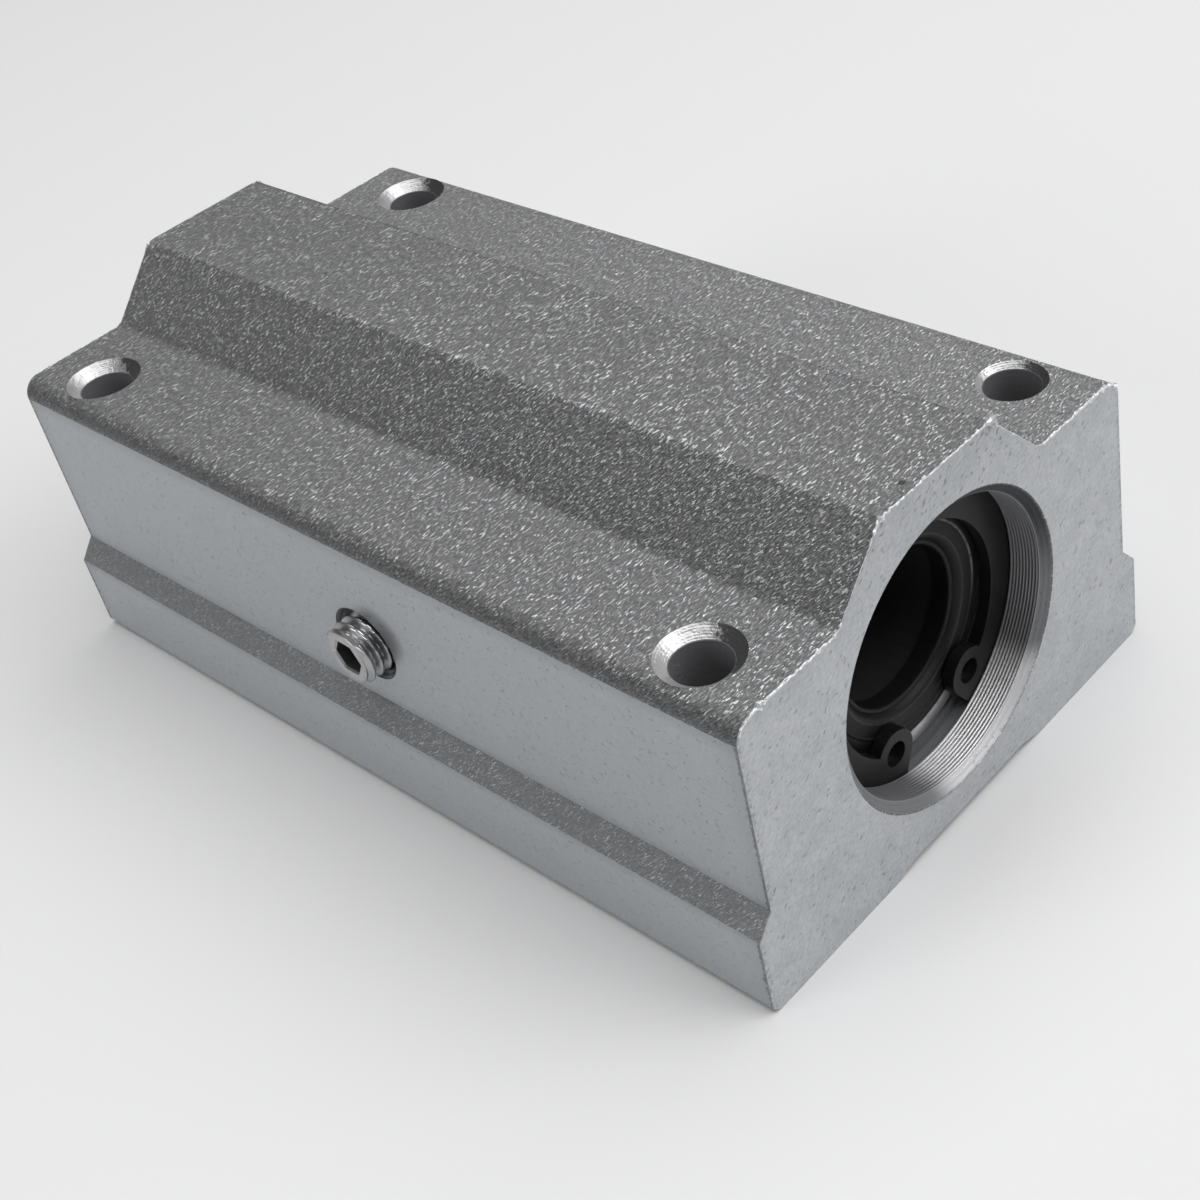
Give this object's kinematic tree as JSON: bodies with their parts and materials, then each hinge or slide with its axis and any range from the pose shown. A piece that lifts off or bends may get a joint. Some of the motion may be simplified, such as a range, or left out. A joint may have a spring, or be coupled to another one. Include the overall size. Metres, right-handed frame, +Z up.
{
  "type": "linear bearing block",
  "caption": "Long aluminium block with sealed ball bushings that slides along a round shaft, with countersunk bolt holes and a side set screw.",
  "frame": {"origin": "middle of the shaft bore, on its axis, halfway between the two end faces", "axes": "X across the width with the set screw on -X, +Y along the shaft towards the rear end, +Z up, away from the base"},
  "size_m": [0.0453, 0.078, 0.0303],
  "materials": {
    "housing": "blasted extrusion with machined ends and sides",
    "screw": "bright steel",
    "ring": "black phosphated spring steel",
    "sleeve": "ground bearing steel",
    "cage": "moulded resin",
    "seal": "smooth nitrile rubber",
    "balls": "polished bearing steel"
  },
  "bodies": {
    "block": {"housing": "housing", "front_retaining_ring": "ring", "rear_retaining_ring": "ring", "front_bushing_sleeve": "sleeve", "front_bushing_ball_cage": "cage", "front_bushing_seal": "seal", "front_bushing_end_ring": "sleeve", "front_bushing_ball_circuit_1": "balls", "front_bushing_ball_circuit_2": "balls", "front_bushing_ball_circuit_3": "balls", "front_bushing_ball_circuit_4": "balls", "rear_bushing_sleeve": "sleeve", "rear_bushing_ball_cage": "cage", "rear_bushing_seal": "seal", "rear_bushing_end_ring": "sleeve", "rear_bushing_ball_circuit_1": "balls", "rear_bushing_ball_circuit_2": "balls", "rear_bushing_ball_circuit_3": "balls", "rear_bushing_ball_circuit_4": "balls"},
    "screw": {"set_screw": "screw"}
  },
  "joints": [
    {"name": "set_screw_travel", "type": "slide", "parent": "block", "child": "screw", "axis": [-1, 0, 0], "range_m": [-0.0018, 0.004]}
  ]
}
